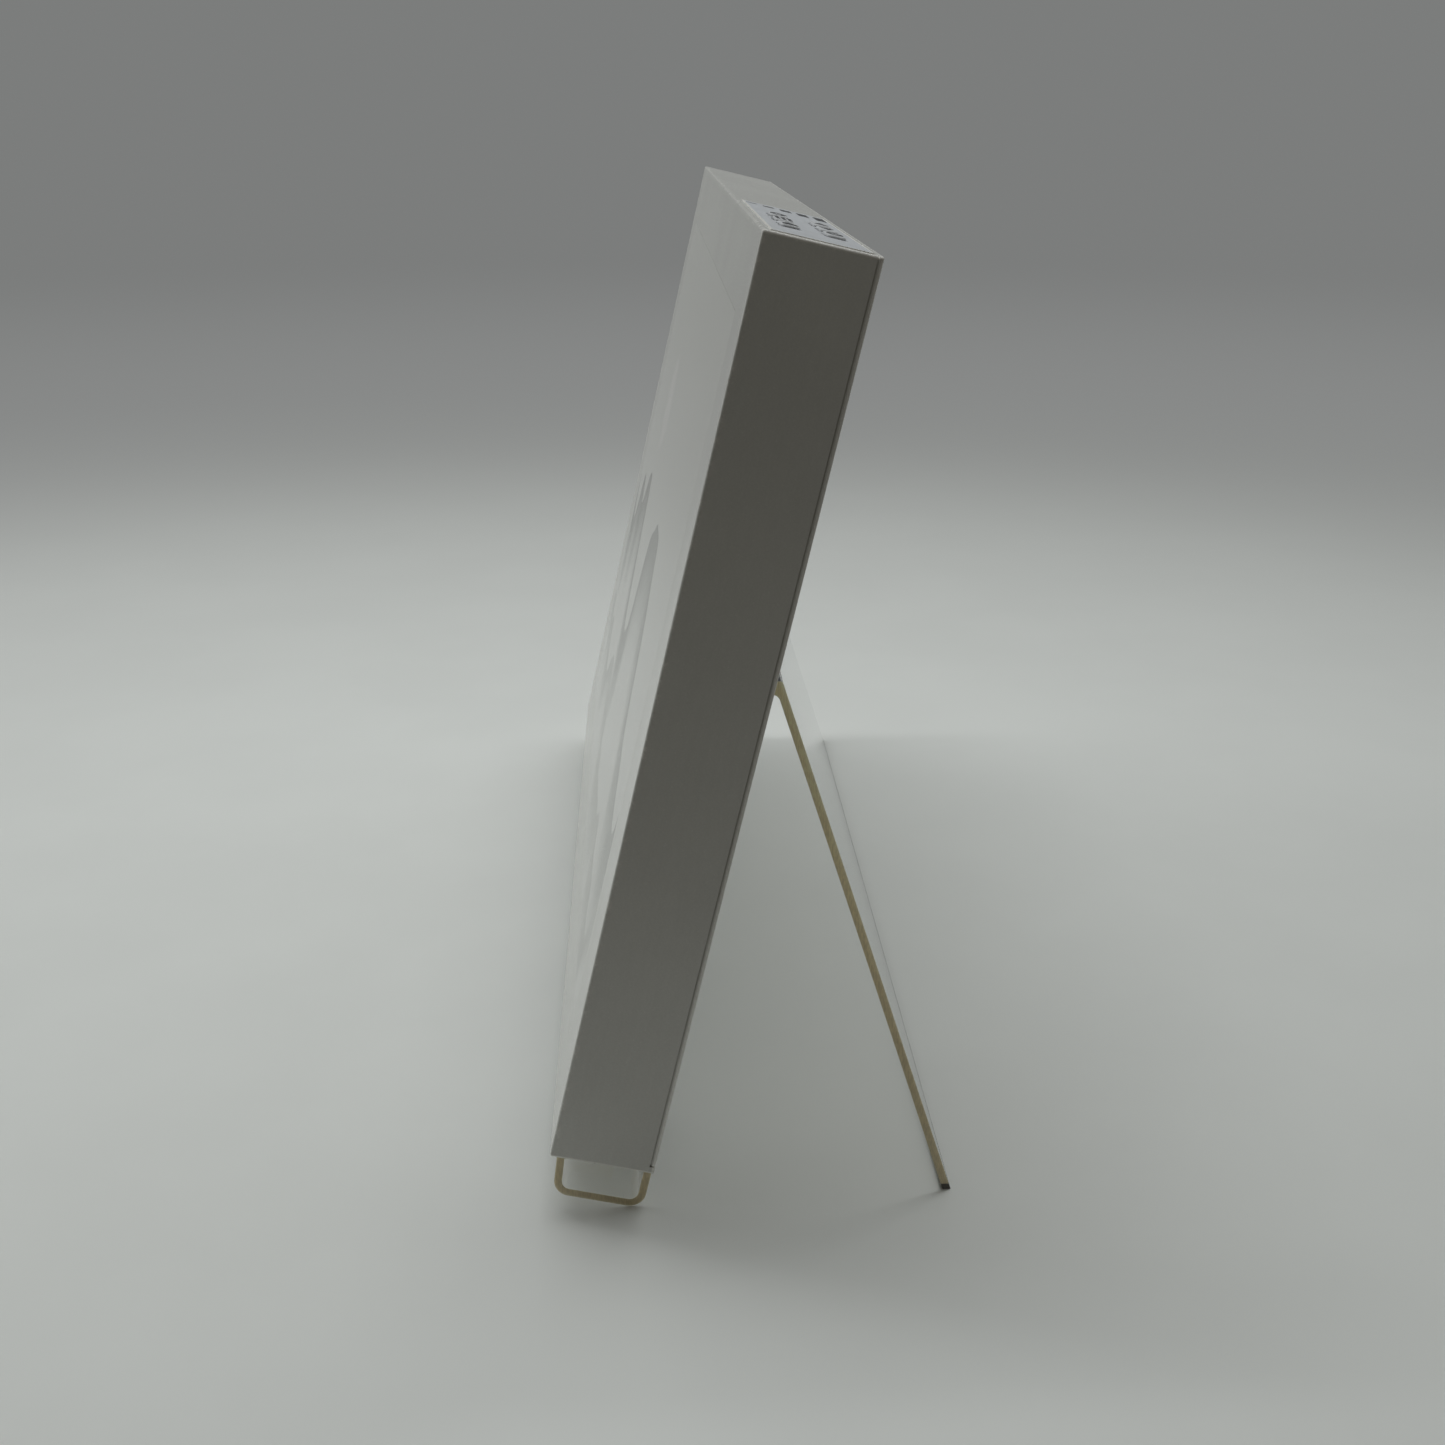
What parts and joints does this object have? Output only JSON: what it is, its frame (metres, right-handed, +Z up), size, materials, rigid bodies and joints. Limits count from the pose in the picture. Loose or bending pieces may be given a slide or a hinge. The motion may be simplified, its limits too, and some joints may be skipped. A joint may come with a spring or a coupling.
{
  "type": "digital photo frame",
  "caption": "Slim white digital photo frame that leans back on a clear bent channel foot and a folding clear leg, with pale push keys on its top edge.",
  "frame": {"origin": "middle of the footprint on the table, centred in X and Y over the whole frame with its leg open", "axes": "+X along the width towards the end with the keys, +Y from the screen to the leg, +Z up"},
  "size_m": [0.26, 0.0771, 0.1804],
  "materials": {
    "white_casing": "fine matte moulding",
    "pale_overlay": "satin film",
    "key_plastic": "satin, dark printed symbols",
    "clear_sheet": "clear sheet, brownish sawn edges",
    "pad_rubber": "matte",
    "gasket_foam": "matte foam",
    "lens_plastic": "anti-glare",
    "cell_glass": "screen picture",
    "diffuser_film": "matte film",
    "guide_plastic": "clear moulding",
    "led_parts": "white resin",
    "sheet_steel": "bare sheet",
    "screw_steel": "zinc plated",
    "standoff_brass": "turned",
    "board_laminate": "solder mask",
    "dark_moulding": "matte",
    "flex_film": "polyimide",
    "lead_sleeve": "matte"
  },
  "bodies": {
    "frame": {"front_shell": "white_casing", "back_cover": "white_casing", "control_strip": "pale_overlay", "foot_channel": "clear_sheet", "foot_blocks": "clear_sheet", "screen_gasket": "gasket_foam", "screen_lens": "lens_plastic", "lcd_cell": "cell_glass", "diffuser_sheet": "diffuser_film", "light_guide": "guide_plastic", "led_bar": "led_parts", "backlight_tray": "sheet_steel", "shield_can": "sheet_steel", "wifi_module": "sheet_steel", "usb_port": "sheet_steel", "card_slot": "sheet_steel", "tray_screws": "screw_steel", "board_screws": "screw_steel", "key_board_screws": "screw_steel", "speaker_screws": "screw_steel", "cover_screws": "screw_steel", "foot_screws": "screw_steel", "hinge_pin": "screw_steel", "board_standoffs": "standoff_brass", "main_board": "board_laminate", "key_board": "board_laminate", "board_connectors": "dark_moulding", "key_switches": "dark_moulding", "speaker_left": "dark_moulding", "speaker_right": "dark_moulding", "display_flex": "flex_film", "key_flex": "flex_film", "speaker_leads": "lead_sleeve"},
    "leg": {"stand_leg": "clear_sheet", "leg_pad": "pad_rubber"},
    "key_power": {"key_power": "key_plastic"},
    "key_menu": {"key_menu": "key_plastic"},
    "key_back": {"key_back": "key_plastic"},
    "key_left": {"key_left": "key_plastic"},
    "key_right": {"key_right": "key_plastic"},
    "key_ok": {"key_ok": "key_plastic"}
  },
  "joints": [
    {"name": "stand_fold", "type": "hinge", "parent": "frame", "child": "leg", "pos_m": [0, 0.00276, 0.10333], "axis": [1, 0, 0], "range_deg": [-31, 0]},
    {"name": "key_power_press", "type": "slide", "parent": "frame", "child": "key_power", "axis": [0, -0.225, -0.9744], "range_m": [0, 0.00035], "stiffness_N_per_m": 600},
    {"name": "key_menu_press", "type": "slide", "parent": "frame", "child": "key_menu", "axis": [0, -0.225, -0.9744], "range_m": [0, 0.00035], "stiffness_N_per_m": 600},
    {"name": "key_back_press", "type": "slide", "parent": "frame", "child": "key_back", "axis": [0, -0.225, -0.9744], "range_m": [0, 0.00035], "stiffness_N_per_m": 600},
    {"name": "key_left_press", "type": "slide", "parent": "frame", "child": "key_left", "axis": [0, -0.225, -0.9744], "range_m": [0, 0.00035], "stiffness_N_per_m": 600},
    {"name": "key_right_press", "type": "slide", "parent": "frame", "child": "key_right", "axis": [0, -0.225, -0.9744], "range_m": [0, 0.00035], "stiffness_N_per_m": 600},
    {"name": "key_ok_press", "type": "slide", "parent": "frame", "child": "key_ok", "axis": [0, -0.225, -0.9744], "range_m": [0, 0.00035], "stiffness_N_per_m": 600}
  ]
}
